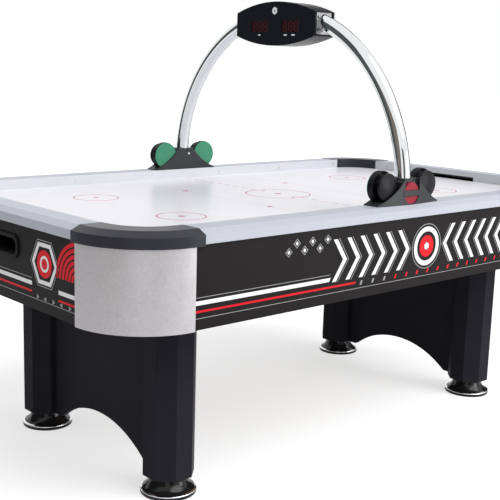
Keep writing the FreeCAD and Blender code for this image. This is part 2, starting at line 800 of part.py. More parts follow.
def build_arch():
    """The bent tube and the two brackets that hold it, the mallets and the puck."""
    node(cut(arch_solid("tube_radius"), arch_solid("tube_radius - tube_wall")), "arch_tube")

    base, lip = "bracket_base_half", "rail_top + bracket_base_lip"
    shoulder, top = "bracket_top_half", "bracket_top"
    front = profile("XZ", [
        ("-" + base, "rail_top"),
        (base, "rail_top"),
        (base, lip, "bracket_slope_radius", 1),
        (shoulder, top + " - bracket_shoulder"),
        (shoulder, top),
        ("-" + shoulder, top),
        ("-" + shoulder, top + " - bracket_shoulder", "bracket_slope_radius", 1),
        ("-" + base, lip),
    ], ("0", "-bracket_inner", "0"))
    front = extrude(front, "bracket_outer_middle - bracket_inner")
    block = common(front, bowed("0", "0"))

    middle = "rail_top + mallet_height_above_rail"
    inside = "bracket_inner + bracket_wall"
    depth = "bracket_outer_middle - (%s)" % inside
    pocket = "(mallet_radius + pocket_clearance)"
    wells = []
    for sign in ("-", ""):
        centre = sign + "mallet_offset"
        wells.append(cylinder((centre, "-bracket_outer_middle", middle), pocket, depth, ALONG_Y))
        wells.append(box((centre + " - " + pocket, "-bracket_outer_middle", middle),
                         ("2 * " + pocket, depth, "bracket_top")))
    tools = [common(fuse(*wells), bowed("bracket_skin", "rail_top")), arch_solid("tube_radius + tube_fit")]
    puck_middle = "rail_top + puck_seat_height + puck_radius"
    back = "(bracket_outer_middle - strap_thickness - puck_thickness - 2 * puck_clearance)"
    recess = "(puck_radius + puck_clearance)"
    reach = "bracket_outer_middle + 1 - " + back
    outside = "-bracket_outer_middle - 1"
    tools.append(cylinder(("0", outside, puck_middle), recess, reach, ALONG_Y))
    tools.append(box(("-" + recess, outside, puck_middle), ("2 * " + recess, reach, "bracket_top")))
    strap_low = puck_middle + " - strap_height / 2"
    strap = box(("-%s - strap_lap" % recess, "-bracket_outer_middle", strap_low),
                ("2 * (%s + strap_lap)" % recess, "strap_thickness", "strap_height"))
    studs = [box((low, "-bracket_outer_middle", strap_low),
                 ("strap_lap", "2 * strap_thickness", "strap_height"))
             for low in ("-%s - strap_lap" % recess, recess)]
    pair(fuse(cut(block, *tools), strap, *studs), "arch_bracket_near", "arch_bracket_far", Vector(0, 1, 0))

    puck_spot = ("0", "-%s - puck_clearance - puck_thickness" % back, puck_middle + " - puck_clearance + seat_gap")
    node(cylinder(puck_spot, "puck_radius", "puck_thickness", ALONG_Y), "puck")

    shape = mallet_section()
    seat = "(%s + puck_clearance)" % inside
    height = middle + " - pocket_clearance + seat_gap"
    for side, sign, turn in (("near", "-", Rotation(Vector(1, 0, 0), 90)), ("far", "", ALONG_Y)):
        for end, x in (("left", "-mallet_offset"), ("right", "mallet_offset")):
            name = "_%s_%s" % (side, end)
            spot = (x, sign + seat, height)
            node(place(revolve(shape), spot, turn), "mallet" + name)
            node(cylinder(spot, "mallet_radius - felt_inset", "felt_thickness", turn), "mallet_felt" + name)


def bowed(skin, low):
    """The bracket's plan, drawn in from its bowed outer face by a skin, from a height upwards."""
    base = "bracket_base_half"
    bow = "(bracket_outer_middle - bracket_outer_end)"
    plan = profile("XY", [
        ("-" + base, "-bracket_inner"),
        ("-" + base, "-bracket_outer_end + " + skin, bow_radius(base, bow), -1),
        (base, "-bracket_outer_end + " + skin),
        (base, "-bracket_inner"),
    ], ("0", "0", low))
    return extrude(plan, "bracket_top + bracket_height")


def mallet_section():
    """Half of a mallet's section: a hollow skirted base, a waist and a domed disc to hold it by."""
    rim, floor = "(felt_thickness + mallet_rim_height)", "(felt_thickness + mallet_floor)"
    crown = "(felt_thickness + mallet_height)"
    shoulder = "(%s - mallet_dome)" % crown
    under = "(%s - mallet_disc_height)" % crown
    return profile("XZ", [
        ("0", "felt_thickness"),
        ("mallet_radius - mallet_edge", "felt_thickness", "mallet_edge", -1),
        ("mallet_radius", "felt_thickness + mallet_edge"),
        ("mallet_radius", rim + " - mallet_edge", "mallet_edge", -1),
        ("mallet_radius - mallet_edge", rim),
        ("mallet_radius - mallet_rim_width", rim),
        ("mallet_radius - 2 * mallet_rim_width", floor),
        ("mallet_waist_radius", floor),
        ("mallet_waist_radius", under + " - mallet_disc_cone"),
        ("mallet_disc_radius - mallet_edge", under),
        ("mallet_disc_radius", under + " + mallet_edge"),
        ("mallet_disc_radius", shoulder + " - mallet_disc_edge", "mallet_disc_edge", -1),
        ("mallet_disc_radius - mallet_disc_edge", shoulder,
         bow_radius("(mallet_disc_radius - mallet_disc_edge)", "mallet_dome"), -1),
        ("0", crown),
    ])


def lens(shrink, plane_x):
    """The scorer's outline, drawn in by a wall."""
    half = "(scorer_half_length - %s)" % shrink
    rise = "(scorer_top - scorer_end_top)"
    drop = "(scorer_end_bottom - scorer_bottom)"
    upper = "(%s)" % bow_radius("scorer_half_length", rise)
    lower = "(%s)" % bow_radius("scorer_half_length", drop)
    up_z = "(scorer_top - %s + sqrt((%s - %s) * (%s - %s) - %s * %s))" % (
        upper, upper, shrink, upper, shrink, half, half)
    low_z = "(scorer_bottom + %s - sqrt((%s - %s) * (%s - %s) - %s * %s))" % (
        lower, lower, shrink, lower, shrink, half, half)
    return profile("YZ", [
        ("-" + half, low_z, "(%s - %s)" % (lower, shrink), -1),
        (half, low_z),
        (half, up_z, "(%s - %s)" % (upper, shrink), -1),
        ("-" + half, up_z),
    ], (plane_x, "0", "0"))


def build_scorer():
    """The scorer's shell, faces, display windows and end plates."""
    inside = "(scorer_half_thickness - scorer_face_thickness)"
    shell = extrude(lens("0", "-" + inside), "2 * " + inside)
    hollow = extrude(lens("scorer_wall", "-" + inside + " - 1"), "2 * %s + 2" % inside)
    low, high = "scorer_end_bottom + scorer_end_frame", "scorer_end_top - scorer_end_lip"
    width = "(%s - scorer_end_frame)" % inside
    window = box(("-" + width, "-scorer_half_length - 1", low),
                 ("2 * " + width, "2 * scorer_half_length + 2", "%s - (%s)" % (high, low)))
    node(cut(shell, hollow, window), "scorer_shell")

    displays = []
    lenses = []
    for sign in ("-", ""):
        middle = sign + "display_offset"
        spot = (middle + " - display_half_width", "display_middle - display_height / 2")
        displays.append(box(("-scorer_half_thickness - 1",) + spot,
                            ("scorer_face_thickness + 2", "2 * display_half_width", "display_height")))
        lenses.append(box(("-" + inside, spot[0] + " - window_lens_lap", spot[1] + " - window_lens_lap"),
                          ("window_lens_thickness", "2 * (display_half_width + window_lens_lap)",
                           "display_height + 2 * window_lens_lap")))
    face = cut(extrude(lens("0", "-scorer_half_thickness"), "scorer_face_thickness"), *displays)
    pair(face, "scorer_face_left", "scorer_face_right", Vector(1, 0, 0))
    row = group(*lenses)
    node(group(row, mirror(row, Vector(1, 0, 0))), "score_windows")

    ring = half_torus("tube_radius + tube_fit")
    plate = box(("-" + inside, "-scorer_half_length + scorer_wall", low + " - end_plate_lap"),
                ("2 * " + inside, "end_plate_thickness", "%s - (%s) + end_plate_lap" % (high, low)))
    plate = cut(plate, ring)
    node(group(plate, mirror(plate, Vector(0, 1, 0))), "scorer_end_plates")


def export():
    """Check every object and write each piece to its own file."""
    doc.recompute()
    for item in doc.Objects:
        faults = [state for state in item.State if state in ("Invalid", "Error")]
        if faults:
            raise RuntimeError("%s %s: %s" % (item.Label, item.Name, faults))
    for item in NODES:
        if item.Shape.isNull() or not item.Shape.isValid() or not item.Shape.Solids:
            raise RuntimeError("%s has no sound solid" % item.Label)
    os.makedirs("parts", exist_ok=True)
    for item in NODES:
        item.Shape.exportStep("parts/%s.step" % item.Label)
        print("%-28s solids %2d volume %10.1f cm3"
              % (item.Label, len(item.Shape.Solids), item.Shape.Volume / 1000))
    print("nodes", len(NODES))


build_cabinet()
build_rails()
build_field()
build_goals()
build_blower()
build_legs()
build_arch()
build_scorer()
export()
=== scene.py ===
"""Looks for a seven foot air hockey table with an overhead scorer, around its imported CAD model."""
import json
import math

import bpy
from mathutils import Matrix, Vector


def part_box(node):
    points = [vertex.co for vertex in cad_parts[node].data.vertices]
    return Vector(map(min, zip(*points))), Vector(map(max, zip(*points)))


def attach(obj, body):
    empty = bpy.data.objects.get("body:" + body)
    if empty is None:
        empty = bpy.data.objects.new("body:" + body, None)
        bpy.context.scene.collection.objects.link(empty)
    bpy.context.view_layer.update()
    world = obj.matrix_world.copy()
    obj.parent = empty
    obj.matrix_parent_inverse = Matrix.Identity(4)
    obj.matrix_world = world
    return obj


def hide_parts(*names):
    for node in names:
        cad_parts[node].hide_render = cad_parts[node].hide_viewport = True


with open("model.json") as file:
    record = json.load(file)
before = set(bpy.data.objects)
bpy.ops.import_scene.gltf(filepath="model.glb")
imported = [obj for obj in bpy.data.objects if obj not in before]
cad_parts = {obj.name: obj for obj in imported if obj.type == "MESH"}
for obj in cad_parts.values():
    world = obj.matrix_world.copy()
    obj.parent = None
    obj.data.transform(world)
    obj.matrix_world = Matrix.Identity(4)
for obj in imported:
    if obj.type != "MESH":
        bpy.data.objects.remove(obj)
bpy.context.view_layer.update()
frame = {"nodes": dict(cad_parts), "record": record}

NODES = frame["nodes"]
CORNERS = [side + "_" + end for side in ("near", "far") for end in ("left", "right")]

FIELD_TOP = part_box("playfield")[1].z
RAIL_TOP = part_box("side_rail_near")[1].z
APRON_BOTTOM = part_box("side_apron_near")[0].z
APRON_FACE_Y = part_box("side_apron_far")[1].y
APRON_FACE_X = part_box("end_apron_right")[1].x
APRON_END_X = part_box("side_apron_far")[1].x
APRON_END_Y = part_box("end_apron_right")[1].y

# How far a corner cap hangs below the playfield's face.
SKIRT = 0.004
PRINT_THICKNESS = 0.00025
LINE_THICKNESS = 0.00012
SCREW_HEAD_HEIGHT = 0.0012


# ---------------------------------------------------------------- shader nodes

def add_node(tree, kind, **settings):
    """A node of a tree, with its plain settings."""
    item = tree.nodes.new(kind)
    for name, setting in settings.items():
        setattr(item, name, setting)
    return item


def object_place(tree):
    """The place on the object, in metres."""
    return add_node(tree, "ShaderNodeTexCoord").outputs["Object"]


def noise_of(tree, vector, scale, detail=3.0, roughness=0.55):
    """A noise texture on a vector, with its scale fixed or linked."""
    item = add_node(tree, "ShaderNodeTexNoise")
    item.inputs["Detail"].default_value = detail
    item.inputs["Roughness"].default_value = roughness
    tree.links.new(vector, item.inputs["Vector"])
    if isinstance(scale, (int, float)):
        item.inputs["Scale"].default_value = scale
    else:
        tree.links.new(scale, item.inputs["Scale"])
    return item.outputs["Fac"]


def calculate(tree, operation, first, second=0.5, clamp=False):
    """A math node on two sockets or numbers."""
    item = add_node(tree, "ShaderNodeMath", operation=operation, use_clamp=clamp)
    for place, part in enumerate((first, second)):
        if isinstance(part, (int, float)):
            item.inputs[place].default_value = part
        else:
            tree.links.new(part, item.inputs[place])
    return item.outputs[0]


def blend_noise(tree, first, share, second):
    """Two noises in one, of which the first has the given share."""
    return calculate(tree, "ADD", calculate(tree, "MULTIPLY", first, share),
                     calculate(tree, "MULTIPLY", second, 1 - share))


def mix_colour(tree, factor, first, second):
    """A colour mix with sockets or colours on each side."""
    item = add_node(tree, "ShaderNodeMix", data_type="RGBA")
    for socket, part in ((item.inputs["Factor"], factor), (item.inputs[6], first), (item.inputs[7], second)):
        if hasattr(part, "links"):
            tree.links.new(part, socket)
        else:
            socket.default_value = part
    return item.outputs[2]


# ---------------------------------------------------------------- shader groups

def new_group(name, inputs):
    """A shader node group with two colours, its own inputs, and inputs for roughness, bump and edges."""
    tree = bpy.data.node_groups.new(name, "ShaderNodeTree")
    ends = [("Roughness", "NodeSocketFloat"), ("Roughness spread", "NodeSocketFloat"),
            ("Bump", "NodeSocketFloat"), ("Edge radius", "NodeSocketFloat")]
    for label, kind in [("Colour", "NodeSocketColor"), ("Second colour", "NodeSocketColor")] + inputs + ends:
        tree.interface.new_socket(name=label, in_out="INPUT", socket_type=kind)
    for label, kind in (("Colour", "NodeSocketColor"), ("Roughness", "NodeSocketFloat"),
                        ("Normal", "NodeSocketVector")):
        tree.interface.new_socket(name=label, in_out="OUTPUT", socket_type=kind)
    return tree, add_node(tree, "NodeGroupInput"), add_node(tree, "NodeGroupOutput")


def close_group(tree, given, made, factor, smudge, height, depth):
    """A group's outputs: mixed colour, uneven roughness, and a bump over rounded edges."""
    colour = mix_colour(tree, factor, given.outputs["Colour"], given.outputs["Second colour"])
    tree.links.new(colour, made.inputs["Colour"])
    swing = calculate(tree, "SUBTRACT", smudge, 0.5)
    swing = calculate(tree, "MULTIPLY", swing, given.outputs["Roughness spread"])
    roughness = calculate(tree, "ADD", given.outputs["Roughness"], swing, clamp=True)
    tree.links.new(roughness, made.inputs["Roughness"])
    edge = add_node(tree, "ShaderNodeBevel", samples=4)
    tree.links.new(given.outputs["Edge radius"], edge.inputs["Radius"])
    bump = add_node(tree, "ShaderNodeBump")
    bump.inputs["Distance"].default_value = depth
    tree.links.new(given.outputs["Bump"], bump.inputs["Strength"])
    tree.links.new(height, bump.inputs["Height"])
    tree.links.new(edge.outputs["Normal"], bump.inputs["Normal"])
    tree.links.new(bump.outputs["Normal"], made.inputs["Normal"])


def moulding_group():
    """Fine moulded or printed grain with broader patches."""
    tree, given, made = new_group("Moulded grain", [("Grain scale", "NodeSocketFloat"),
                                                    ("Patch scale", "NodeSocketFloat")])
    where = object_place(tree)
    grain = noise_of(tree, where, given.outputs["Grain scale"], 2.0)
    patch = noise_of(tree, where, given.outputs["Patch scale"], 4.0)
    contrast = 3.2
    both = calculate(tree, "SUBTRACT", blend_noise(tree, grain, 0.6, patch), 0.5)
    factor = calculate(tree, "ADD", calculate(tree, "MULTIPLY", both, contrast), 0.5, clamp=True)
    close_group(tree, given, made, factor, patch, grain, 0.0004)
    return tree


def drawn_group():
    """Lines drawn along one direction, as on extruded, rolled or plated metal."""
    tree, given, made = new_group("Drawn metal", [("Stretch", "NodeSocketVector")])
    where = object_place(tree)
    stretched = add_node(tree, "ShaderNodeVectorMath", operation="MULTIPLY")
    tree.links.new(where, stretched.inputs[0])
    tree.links.new(given.outputs["Stretch"], stretched.inputs[1])
    lines = noise_of(tree, stretched.outputs[0], 1.0, 2.0)
    smudge = noise_of(tree, where, 11.0, 4.0)
    close_group(tree, given, made, lines, smudge, lines, 0.0002)
    return tree


MOULDING = moulding_group()
DRAWN = drawn_group()


# ---------------------------------------------------------------- materials

def rgba(colour):
    """A colour with its alpha."""
    return (*colour, 1.0)


def bare_material(name, **sockets):
    """A material with a Principled shader, whose constant sockets are set here."""
    material = bpy.data.materials.new(name)
    material.use_nodes = True
    shader = material.node_tree.nodes["Principled BSDF"]
    for label, number in sockets.items():
        shader.inputs[label.replace("_", " ")].default_value = number
    return material, shader


def finish_with(group, name, settings, sockets):
    """A material whose colour, roughness and normal come from a group with its own settings."""
    material, shader = bare_material(name, **sockets)
    tree = material.node_tree
    item = add_node(tree, "ShaderNodeGroup", node_tree=group)
    for label, number in settings.items():
        item.inputs[label.replace("_", " ")].default_value = number
    tree.links.new(item.outputs["Colour"], shader.inputs["Base Color"])
    tree.links.new(item.outputs["Roughness"], shader.inputs["Roughness"])
    tree.links.new(item.outputs["Normal"], shader.inputs["Normal"])
    return material


def moulded(name, colour, second, rough, spread=0.1, grain=900.0, patch=9.0, bump=0.1, edge=0.001, **sockets):
    """Plastic, laminate or print with a fine grain."""
    return finish_with(MOULDING, name, {
        "Colour": rgba(colour), "Second_colour": rgba(second), "Grain_scale": grain, "Patch_scale": patch,
        "Roughness": rough, "Roughness_spread": spread, "Bump": bump, "Edge_radius": edge}, sockets)


def drawn(name, colour, second, rough, stretch, spread=0.1, bump=0.05, edge=0.0005, **sockets):
    """Metal with drawn lines."""
    return finish_with(DRAWN, name, {
        "Colour": rgba(colour), "Second_colour": rgba(second), "Stretch": stretch,
        "Roughness": rough, "Roughness_spread": spread, "Bump": bump, "Edge_radius": edge},
        {"Metallic": 1.0, **sockets})


def ink(name, colour, second, rough=0.4, grain=700, bump=0.03, level=0.2):
    """Ink that lies thinly on a laminate."""
    return moulded(name, colour, second, rough, grain=grain, bump=bump, edge=0.0001, Specular_IOR_Level=level)


def foot_material():
    """Gloss black moulding, with a painted highlight on its rim: a near white metal band painted round the
    rim's top edge.
    """
    rim_width, rim_bottom, rim_highlight_colour = 0.0055, 0.0105, (0.90, 0.90, 0.94)
    material = moulded("Gloss black foot", (0.010, 0.010, 0.011), (0.014, 0.014, 0.015), 0.14,
                       spread=0.08, bump=0.02, edge=0.001, Specular_IOR_Level=0.3)
    tree = material.node_tree
    shader = tree.nodes["Principled BSDF"]
    low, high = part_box("leveller_foot_far_right")
    centre, radius = (low + high) / 2, (high.x - low.x) / 2
    where = add_node(tree, "ShaderNodeSeparateXYZ")
    tree.links.new(object_place(tree), where.inputs[0])
    squares = []
    for axis, middle in (("X", centre.x), ("Y", centre.y)):
        away = calculate(tree, "SUBTRACT", calculate(tree, "ABSOLUTE", where.outputs[axis]), middle)
        squares.append(calculate(tree, "MULTIPLY", away, away))
    reach = calculate(tree, "SQRT", calculate(tree, "ADD", *squares))
    # The rim's outer top band, where near white metal is a painted highlight.
    outside = calculate(tree, "GREATER_THAN", reach, radius - rim_width)
    above = calculate(tree, "GREATER_THAN", where.outputs["Z"], rim_bottom)
    edge = calculate(tree, "MULTIPLY", outside, above)
    body_colour = shader.inputs["Base Color"].links[0].from_socket
    # Painted highlight: the band's colour turns near white and fully metallic.
    tree.links.new(mix_colour(tree, edge, body_colour, rgba(rim_highlight_colour)), shader.inputs["Base Color"])
    tree.links.new(edge, shader.inputs["Metallic"])
    return material


def felt_material():
    """Pressed wool felt with fine fibres and a soft sheen."""
    material, shader = bare_material("Green felt", Roughness=0.9, Sheen_Weight=0.2, Sheen_Roughness=0.5,
                                     Sheen_Tint=rgba((0.6, 0.9, 0.75)), Specular_IOR_Level=0.2)
    tree = material.node_tree
    where = object_place(tree)
    fibres = noise_of(tree, where, 1400.0, 5.0, 0.75)
    tufts = noise_of(tree, where, 130.0, 4.0, 0.6)
    factor = blend_noise(tree, fibres, 0.55, tufts)
    tree.links.new(mix_colour(tree, factor, rgba((0.030, 0.19, 0.10)), rgba((0.11, 0.40, 0.25))),
                   shader.inputs["Base Color"])
    bump = add_node(tree, "ShaderNodeBump")
    bump.inputs["Strength"].default_value = 0.5
    bump.inputs["Distance"].default_value = 0.0008
    tree.links.new(factor, bump.inputs["Height"])
    tree.links.new(bump.outputs["Normal"], shader.inputs["Normal"])
    return material


# The finish of each slot in the record.
FINISHES = {
    "apron_black": moulded("Apron laminate", (0.0125, 0.0105, 0.0107), (0.0165, 0.0143, 0.0145), 0.42,
                           grain=700, bump=0.05, Specular_IOR_Level=0.08),
    "corner_silver": moulded("Textured silver moulding", (0.53, 0.512, 0.53), (0.61, 0.588, 0.61), 0.38,
                             spread=0.2, grain=150, patch=26, bump=0.22, edge=0.0015, Metallic=0.5),
    "cap_charcoal": moulded("Charcoal cap moulding", (0.026, 0.027, 0.037), (0.034, 0.035, 0.047), 0.30,
                            grain=900, bump=0.12, edge=0.002, Specular_IOR_Level=0.22),
    "leg_black": moulded("Leg laminate", (0.0215, 0.0210, 0.0270), (0.0265, 0.0260, 0.0330), 0.42,
                         grain=500, bump=0.05, edge=0.002, Specular_IOR_Level=0.03),
    "mallet_black": moulded("Mallet moulding", (0.010, 0.010, 0.012), (0.014, 0.014, 0.017), 0.30,
                            grain=600, bump=0.05, edge=0.0025, Specular_IOR_Level=0.12),
    "rail_grey": moulded("Rail laminate", (0.54, 0.57, 0.64), (0.58, 0.61, 0.68), 0.40,
                         grain=500, patch=5, bump=0.03, edge=0.0012, Specular_IOR_Level=0.3),
    "field_white": moulded("Playfield laminate", (0.92, 0.91, 0.965), (0.94, 0.93, 0.985), 0.26,
                           spread=0.06, grain=300, patch=3, bump=0.01, edge=0.0005, Specular_IOR_Level=0.22),
    "board_raw": moulded("Raw fibreboard", (0.30, 0.20, 0.11), (0.42, 0.29, 0.17), 0.8,
                         grain=350, patch=30, bump=0.4),
    "box_black": moulded("Black return box", (0.008, 0.008, 0.010), (0.013, 0.013, 0.015), 0.42,
                         grain=800, bump=0.12, edge=0.0015, Specular_IOR_Level=0.06),
    "bracket_grey": moulded("Bracket moulding", (0.026, 0.028, 0.031), (0.034, 0.036, 0.040), 0.34,
                            grain=800, bump=0.12, edge=0.003, Specular_IOR_Level=0.25),
    "puck_red": moulded("Puck moulding", (0.32, 0.022, 0.042), (0.38, 0.028, 0.052), 0.35,
                        grain=700, bump=0.06, edge=0.0012, Specular_IOR_Level=0.12),
    "scorer_black": moulded("Scorer moulding", (0.011, 0.013, 0.017), (0.014, 0.016, 0.021), 0.26,
                            spread=0.08, grain=700, bump=0.03, edge=0.002, Specular_IOR_Level=0.12),
    "impeller_grey": moulded("Impeller moulding", (0.22, 0.22, 0.23), (0.28, 0.28, 0.29), 0.5,
                             grain=600, bump=0.1),
    "window_dark": moulded("Display window", (0.016, 0.009, 0.012), (0.020, 0.011, 0.014), 0.14,
                           spread=0.04, grain=400, bump=0.01, edge=0.0006, Specular_IOR_Level=0.3),
    "strip_alu": drawn("Satin strip", (0.66, 0.67, 0.71), (0.74, 0.75, 0.79), 0.45, (3.0, 3.0, 900.0),
                       Metallic=0.35),
    "screw_steel": drawn("Plated screw", (0.55, 0.55, 0.57), (0.72, 0.72, 0.74), 0.3, (300.0, 300.0, 300.0),
                         edge=0.0004),
    "motor_steel": drawn("Plated can", (0.5, 0.5, 0.52), (0.62, 0.62, 0.64), 0.35, (40.0, 40.0, 900.0)),
    "tube_chrome": drawn("Chrome tube", (0.80, 0.82, 0.83), (0.84, 0.86, 0.87), 0.05, (30.0, 30.0, 30.0),
                         spread=0.03, bump=0.0, edge=0.0003),
    "plate_steel": drawn("Bright end plate", (0.16, 0.16, 0.17), (0.44, 0.43, 0.42), 0.28,
                         (60.0, 60.0, 90.0)),
    "felt_green": felt_material(),
    "foot_gloss": foot_material(),
}

# The inks of the aprons and the scorer.
INKS = {
    "white": ink("White print", (0.96, 0.96, 0.97), (0.98, 0.98, 0.99)),
    "red": ink("Red print", (0.80, 0.012, 0.022), (0.86, 0.016, 0.028), level=0.1),
    "grey": ink("Grey print", (0.36, 0.36, 0.37), (0.42, 0.42, 0.43)),
}
LINE_RED = ink("Field line", (0.62, 0.16, 0.23), (0.68, 0.20, 0.27), 0.26, 300, 0.0, 0.22)
LINE_PALE = ink("Pale field line", (0.80, 0.60, 0.68), (0.84, 0.66, 0.73), 0.26, 300, 0.0, 0.22)
# The air holes' grey is painted shade, standing in for the unlit inside of each hole.
HOLE_SHADE = ink("Painted air hole shade", (0.25, 0.24, 0.27), (0.3, 0.29, 0.32), 0.7, 300, 0.0, 0.5)
SEGMENT_RED = moulded("Display segment", (0.085, 0.006, 0.011), (0.11, 0.008, 0.014), 0.3,
                      bump=0.02, Specular_IOR_Level=0.2)
SCREW_BLACK = moulded("Blackened screw", (0.012, 0.012, 0.014), (0.020, 0.020, 0.022), 0.35, edge=0.0004)


def dress_frame():
    """Give every CAD node the finish of its slot in the record."""
    for part in frame["record"]["subparts"]:
        shape = NODES[part["node"]].data
        shape.materials.clear()
        shape.materials.append(FINISHES[part["material_slot"]])


dress_frame()


# ---------------------------------------------------------------- modelling steps

def clear_selection():
    """Object mode, with nothing selected."""
    if bpy.context.object and bpy.context.object.mode != "OBJECT":
        bpy.ops.object.mode_set(mode="OBJECT")
    bpy.ops.object.select_all(action="DESELECT")


def pick(item):
    """Select one object alone and make it the active one."""
    clear_selection()
    item.select_set(True)
    bpy.context.view_layer.objects.active = item


def edit_all(item):
    """Open an object's mesh for editing, with all of it selected."""
    pick(item)
    bpy.ops.object.mode_set(mode="EDIT")
    bpy.ops.mesh.select_all(action="SELECT")


def end_edit():
    """Close the mesh that is open."""
    bpy.ops.object.mode_set(mode="OBJECT")


def set_flat(item):
    """Apply an object's place, turn and scale to its mesh."""
    pick(item)
    bpy.ops.object.transform_apply(location=True, rotation=True, scale=True)
    return item


def push(item, wanted, step):
    """Move the corners that meet a condition."""
    for corner in item.data.vertices:
        corner.select = wanted(corner.co)
    item.data.polygons.foreach_set("select", [False] * len(item.data.polygons))
    item.data.edges.foreach_set("select", [False] * len(item.data.edges))
    bpy.ops.object.mode_set(mode="EDIT")
    bpy.ops.mesh.select_mode(type="VERT")
    bpy.ops.transform.translate(value=step)
    end_edit()


def join(items):
    """One object from several."""
    clear_selection()
    for item in items:
        item.select_set(True)
    bpy.context.view_layer.objects.active = items[0]
    if len(items) > 1:
        bpy.ops.object.join()
    return bpy.context.object


def copy_of(item):
    """A copy with its own mesh."""
    twin = item.copy()
    twin.data = item.data.copy()
    bpy.context.scene.collection.objects.link(twin)
    return twin


def moved(item, matrix):
    """The mesh itself goes through a matrix."""
    item.data.transform(matrix)
    item.data.update()
    return item


def finished(item, name, material, body="table"):
    """Name a finished piece, give it its finish and set it on its body."""
    item.name = name
    item.data.name = name
    item.data.materials.clear()
    item.data.materials.append(material)
    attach(item, body)
    return item


# ---------------------------------------------------------------- flat shapes

def bar(left, right, low, high, lean=0.0):
    """A flat bar in the XY plane, whose top may lean sideways."""
    clear_selection()
    bpy.ops.mesh.primitive_plane_add(size=1, location=((left + right) / 2, (low + high) / 2, 0))
    item = bpy.context.object
    item.scale = (right - left, high - low, 1)
    set_flat(item)
    if lean:
        push(item, lambda spot: spot.y > (low + high) / 2, (lean, 0, 0))
    return item


def chevron(left, width, low, high, depth):
    """A flat bar bent at its middle height, pointing right for a positive depth."""
    item = bar(left, left + width, low, high)
    middle = (low + high) / 2
    edit_all(item)
    bpy.ops.mesh.bisect(plane_co=(0, middle, 0), plane_no=(0, 1, 0))
    end_edit()
    push(item, lambda spot: abs(spot.y - middle) < 1e-5, (depth, 0, 0))
    return item


def disc(x, y, radius, corners=48, turn=0.0):
    """A flat disc or regular polygon."""
    clear_selection()
    bpy.ops.mesh.primitive_circle_add(vertices=corners, radius=radius, fill_type="NGON", location=(x, y, 0),
                                      rotation=(0, 0, turn))
    return set_flat(bpy.context.object)


def ring(x, y, radius, width, corners=64, turn=0.0):
    """A flat ring, by its outer radius and its width."""
    item = disc(x, y, radius, corners, turn)
    edit_all(item)
    bpy.ops.mesh.inset(thickness=width)
    bpy.ops.mesh.delete(type="FACE")
    end_edit()
    return item


def keep_half(item, spot, normal):
    """Cut a flat shape along a line and keep the side that the normal points to."""
    edit_all(item)
    bpy.ops.mesh.bisect(plane_co=spot, plane_no=normal, clear_inner=True)
    end_edit()
    return item


def thicken(item, thickness):
    """Raise a flat shape to a thin closed plate."""
    edit_all(item)
    bpy.ops.mesh.extrude_region_move(TRANSFORM_OT_translate={"value": (0, 0, thickness)})
    bpy.ops.mesh.select_all(action="SELECT")
    bpy.ops.mesh.normals_make_consistent(inside=False)
    end_edit()
    return item


def stand_plates(items, thickness, distance, turns, stem, material):
    """Plates of one shape, stood up at a distance from the middle, one for each named turn."""
    flat = thicken(join(items), thickness)
    upright = Matrix.Rotation(math.radians(90), 4, "X")
    outwards = Matrix.Translation((0, -distance, 0))
    last = turns[-1][0]
    for name, angle in turns:
        piece = flat if name == last else copy_of(flat)
        turn = Matrix.Rotation(math.radians(angle), 4, "Z")
        finished(moved(piece, turn @ outwards @ upright), stem + "_" + name, material)


# ---------------------------------------------------------------- corners

def lifted_copy(node, lowest_wanted, name, slot):
    """A moulding like the node's, whose lowest edge stands higher, and which stands for it."""
    item = bpy.data.objects.new(name, NODES[node].data.copy())
    bpy.context.scene.collection.objects.link(item)
    edit_all(item)
    bpy.ops.mesh.remove_doubles(threshold=1e-6)
    end_edit()
    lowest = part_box(node)[0].z
    push(item, lambda spot: spot.z < lowest + 0.0005, (0, 0, lowest_wanted - lowest))
    bpy.ops.mesh.customdata_custom_splitnormals_clear()
    bpy.ops.object.shade_smooth_by_angle(angle=math.radians(16))
    finished(item, name, FINISHES[slot])
    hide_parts(node)


def corner_mouldings():
    """Caps with a short skirt over panels that end level with the aprons."""
    for corner in CORNERS:
        lifted_copy("corner_cap_" + corner, FIELD_TOP - SKIRT, "cap_moulding_" + corner, "cap_charcoal")
        lifted_copy("corner_panel_" + corner, APRON_BOTTOM, "silver_moulding_" + corner, "corner_silver")


corner_mouldings()


# ---------------------------------------------------------------- playing surface

def field_marks():
    """Face-off rings, spots, the broken centre line and the two zone lines."""
    ring_x, ring_y = 0.600, 0.225
    zone_x, zone_y = 0.240, 0.215
    spot_radius, line_width, zone_length = 0.0105, 0.0050, 1.024
    rings, spots = [], []
    for side in (-1, 1):
        for end in (-1, 1):
            rings.append(ring(end * ring_x, side * ring_y, 0.0745, line_width))
            spots.append(disc(end * ring_x, side * ring_y, spot_radius, 24))
            spots.append(disc(end * zone_x, side * zone_y, spot_radius, 24))
    spots.append(disc(0, 0, 0.0125, 24))
    centre_radius = 0.1145
    rings.append(ring(0, 0, centre_radius, line_width, 96))
    for side in (-1, 1):
        middle = side * (centre_radius - 0.0025)
        arc = ring(0, middle, 0.030, 0.0035, 48)
        rings.append(keep_half(arc, (0, middle, 0), (0, -side, 0)))
    pitch, length, width = 0.046, 0.030, 0.0040
    dashes = []
    for side in (-1, 1):
        for step in range(9):
            start = centre_radius + 0.0035 + step * pitch
            low, high = sorted((side * start, side * (start + length)))
            dashes.append(bar(-width / 2, width / 2, low, high))
    zones = [bar(x - 0.0012, x + 0.0012, -zone_length / 2, zone_length / 2) for x in (-zone_x, zone_x)]
    lift = Matrix.Translation((0, 0, FIELD_TOP))
    for name, items, material in (("field_rings", rings, LINE_RED), ("field_spots", spots, LINE_RED),
                                  ("field_centre_line", dashes, LINE_RED),
                                  ("field_zone_lines", zones, LINE_PALE)):
        piece = moved(thicken(join(items), LINE_THICKNESS), lift)
        finished(piece, name, material)


